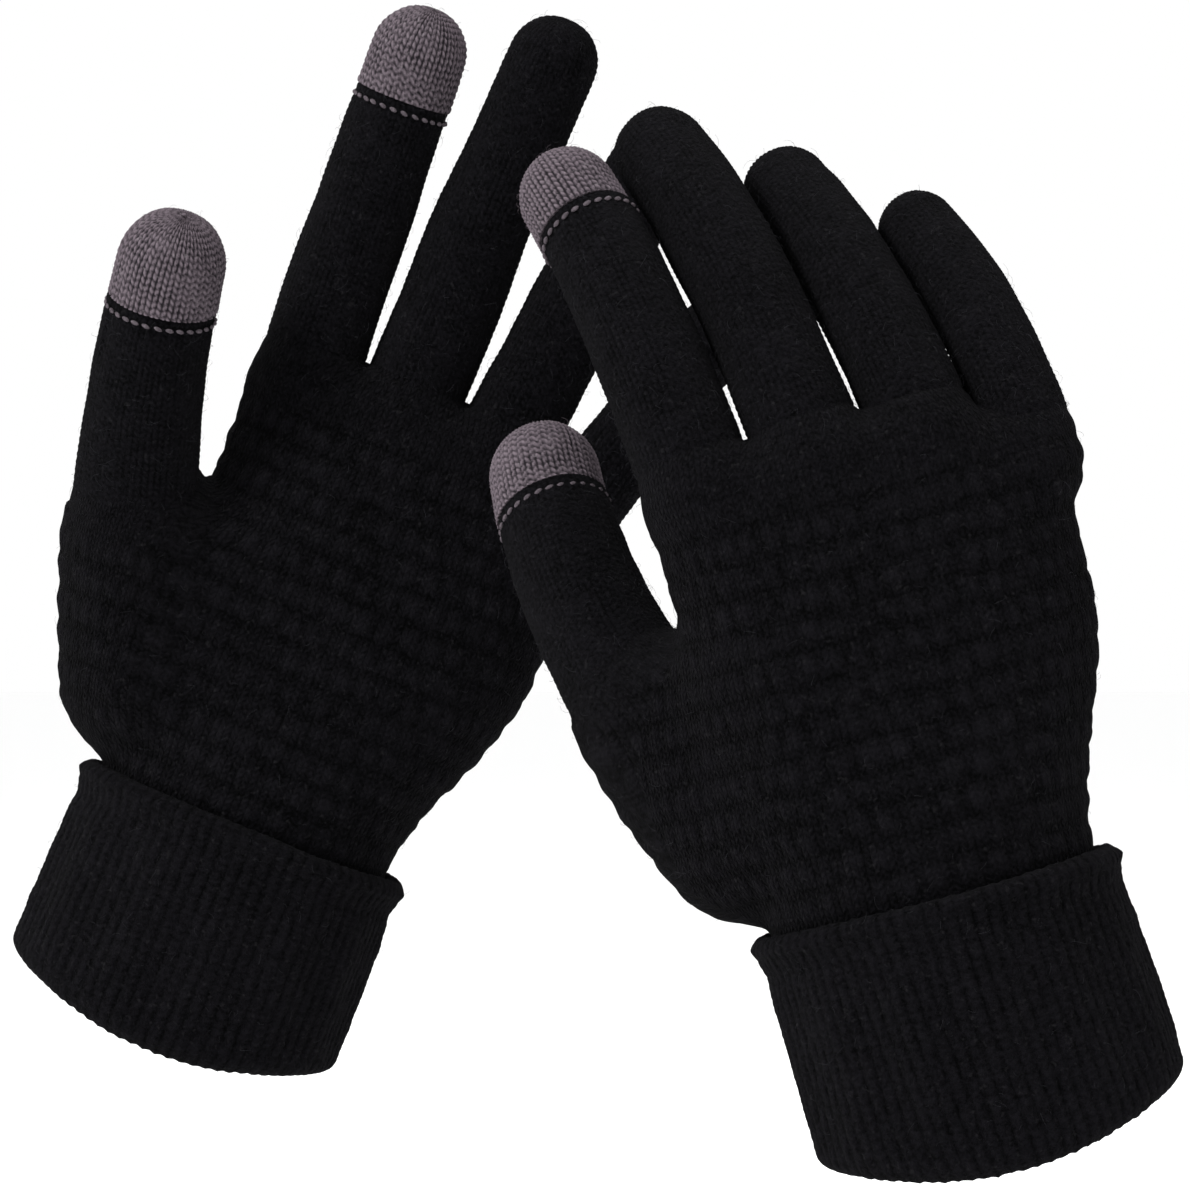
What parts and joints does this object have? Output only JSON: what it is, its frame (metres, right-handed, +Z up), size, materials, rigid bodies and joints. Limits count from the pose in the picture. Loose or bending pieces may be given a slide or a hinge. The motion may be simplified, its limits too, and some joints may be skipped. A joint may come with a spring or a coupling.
{
  "type": "touchscreen gloves",
  "caption": "Pair of black knitted winter gloves with waffle-knit hands, turned-back ribbed cuffs and grey conductive fingertips on thumbs and index fingers, shaped as worn.",
  "frame": {"origin": "the middle of the left glove's wrist opening, on its cuff's fold", "axes": "+Z up, roughly towards the fingertips; +X from the left glove towards the right one; -Y faces the viewer, who sees the left glove's palm and the right glove's back"},
  "size_m": [0.2336, 0.1564, 0.2292],
  "materials": {
    "black_plain_knit": "matte plain knit with a light fuzz",
    "black_waffle_knit": "matte raised waffle knit",
    "black_rib_knit": "matte 1x1 rib knit",
    "grey_conductive_knit": "matte plain knit of conductive yarn",
    "grey_stitching": "matte yarn",
    "elastic_thread": "covered elastic"
  },
  "bodies": {
    "left_hand": {"left_hand": "black_waffle_knit", "left_cuff": "black_rib_knit", "left_cuff_elastic": "elastic_thread"},
    "left_thumb_lower": {"left_thumb_lower": "black_plain_knit"},
    "left_thumb_upper": {"left_thumb_upper": "black_plain_knit", "left_thumb_tip_seam": "grey_stitching", "left_thumb_tip": "grey_conductive_knit"},
    "left_index_lower": {"left_index_lower": "black_plain_knit"},
    "left_index_upper": {"left_index_upper": "black_plain_knit", "left_index_tip_seam": "grey_stitching", "left_index_tip": "grey_conductive_knit"},
    "left_middle_lower": {"left_middle_lower": "black_plain_knit"},
    "left_middle_upper": {"left_middle_upper": "black_plain_knit"},
    "left_ring_lower": {"left_ring_lower": "black_plain_knit"},
    "left_ring_upper": {"left_ring_upper": "black_plain_knit"},
    "left_little_lower": {"left_little_lower": "black_plain_knit"},
    "left_little_upper": {"left_little_upper": "black_plain_knit"},
    "right_hand": {"right_hand": "black_waffle_knit", "right_cuff": "black_rib_knit", "right_cuff_elastic": "elastic_thread"},
    "right_thumb_lower": {"right_thumb_lower": "black_plain_knit"},
    "right_thumb_upper": {"right_thumb_upper": "black_plain_knit", "right_thumb_tip_seam": "grey_stitching", "right_thumb_tip": "grey_conductive_knit"},
    "right_index_lower": {"right_index_lower": "black_plain_knit"},
    "right_index_upper": {"right_index_upper": "black_plain_knit", "right_index_tip_seam": "grey_stitching", "right_index_tip": "grey_conductive_knit"},
    "right_middle_lower": {"right_middle_lower": "black_plain_knit"},
    "right_middle_upper": {"right_middle_upper": "black_plain_knit"},
    "right_ring_lower": {"right_ring_lower": "black_plain_knit"},
    "right_ring_upper": {"right_ring_upper": "black_plain_knit"},
    "right_little_lower": {"right_little_lower": "black_plain_knit"},
    "right_little_upper": {"right_little_upper": "black_plain_knit"}
  },
  "joints": [
    {"name": "left_thumb_knuckle", "type": "hinge", "parent": "left_hand", "child": "left_thumb_lower", "pos_m": [-0.00042, -0.02271, 0.10623], "axis": [0.8847, 0.4641, 0.0442], "range_deg": [0, 24]},
    {"name": "left_thumb_bend", "type": "hinge", "parent": "left_thumb_lower", "child": "left_thumb_upper", "pos_m": [0.00287, -0.03013, 0.13237], "axis": [0.8809, 0.4733, -0.0079], "range_deg": [0, 26]},
    {"name": "left_index_knuckle", "type": "hinge", "parent": "left_hand", "child": "left_index_lower", "pos_m": [0.03159, -0.0103, 0.14154], "axis": [0.9451, 0, -0.3269], "range_deg": [0, 70]},
    {"name": "left_index_bend", "type": "hinge", "parent": "left_index_lower", "child": "left_index_upper", "pos_m": [0.04328, -0.01266, 0.1745], "axis": [0.9395, 0, -0.3427], "range_deg": [0, 60]},
    {"name": "left_middle_knuckle", "type": "hinge", "parent": "left_hand", "child": "left_middle_lower", "pos_m": [0.05287, -0.01012, 0.13352], "axis": [0.9267, 0, -0.3758], "range_deg": [0, 70]},
    {"name": "left_middle_bend", "type": "hinge", "parent": "left_middle_lower", "child": "left_middle_upper", "pos_m": [0.06792, -0.01225, 0.16978], "axis": [0.9202, 0, -0.3914], "range_deg": [0, 80]},
    {"name": "left_ring_knuckle", "type": "hinge", "parent": "left_hand", "child": "left_ring_lower", "pos_m": [0.07294, -0.00977, 0.12452], "axis": [0.8889, 0, -0.458], "range_deg": [0, 70]},
    {"name": "left_ring_bend", "type": "hinge", "parent": "left_ring_lower", "child": "left_ring_upper", "pos_m": [0.08916, -0.01263, 0.15484], "axis": [0.8734, 0, -0.487], "range_deg": [0, 80]},
    {"name": "left_little_knuckle", "type": "hinge", "parent": "left_hand", "child": "left_little_lower", "pos_m": [0.08855, -0.00858, 0.10892], "axis": [0.8112, 0, -0.5848], "range_deg": [0, 70]},
    {"name": "left_little_bend", "type": "hinge", "parent": "left_little_lower", "child": "left_little_upper", "pos_m": [0.10505, -0.01145, 0.13027], "axis": [0.7669, 0, -0.6417], "range_deg": [0, 80]},
    {"name": "right_thumb_knuckle", "type": "hinge", "parent": "right_hand", "child": "right_thumb_lower", "pos_m": [0.10203, -0.07487, 0.07079], "axis": [-0.6482, 0.453, -0.6121], "range_deg": [0, 15]},
    {"name": "right_thumb_bend", "type": "hinge", "parent": "right_thumb_lower", "child": "right_thumb_upper", "pos_m": [0.09108, -0.06304, 0.09198], "axis": [-0.6832, 0.4651, -0.5629], "range_deg": [0, 20]},
    {"name": "right_index_knuckle", "type": "hinge", "parent": "right_hand", "child": "right_index_lower", "pos_m": [0.10679, -0.09442, 0.11372], "axis": [-0.943, 0, -0.3328], "range_deg": [0, 45]},
    {"name": "right_index_bend", "type": "hinge", "parent": "right_index_lower", "child": "right_index_upper", "pos_m": [0.09553, -0.08274, 0.14236], "axis": [-0.9052, 0, -0.4249], "range_deg": [0, 30]},
    {"name": "right_middle_knuckle", "type": "hinge", "parent": "right_hand", "child": "right_middle_lower", "pos_m": [0.12872, -0.09458, 0.11942], "axis": [-0.9348, 0, -0.3551], "range_deg": [0, 50]},
    {"name": "right_middle_bend", "type": "hinge", "parent": "right_middle_lower", "child": "right_middle_upper", "pos_m": [0.11585, -0.07881, 0.15002], "axis": [-0.8928, 0, -0.4504], "range_deg": [0, 42]},
    {"name": "right_ring_knuckle", "type": "hinge", "parent": "right_hand", "child": "right_ring_lower", "pos_m": [0.14988, -0.09445, 0.1235], "axis": [-0.9236, 0, -0.3834], "range_deg": [0, 50]},
    {"name": "right_ring_bend", "type": "hinge", "parent": "right_ring_lower", "child": "right_ring_upper", "pos_m": [0.13883, -0.07755, 0.14806], "axis": [-0.8746, 0, -0.4849], "range_deg": [0, 45]},
    {"name": "right_little_knuckle", "type": "hinge", "parent": "right_hand", "child": "right_little_lower", "pos_m": [0.17076, -0.09552, 0.12124], "axis": [-0.9438, 0, -0.3305], "range_deg": [0, 50]},
    {"name": "right_little_bend", "type": "hinge", "parent": "right_little_lower", "child": "right_little_upper", "pos_m": [0.16212, -0.08386, 0.14248], "axis": [-0.8776, 0, -0.4794], "range_deg": [0, 50]},
    {"name": "right_glove_lift", "type": "slide", "parent": "left_hand", "child": "right_hand", "axis": [0, 0, 1], "range_m": [0, 0.25]}
  ]
}
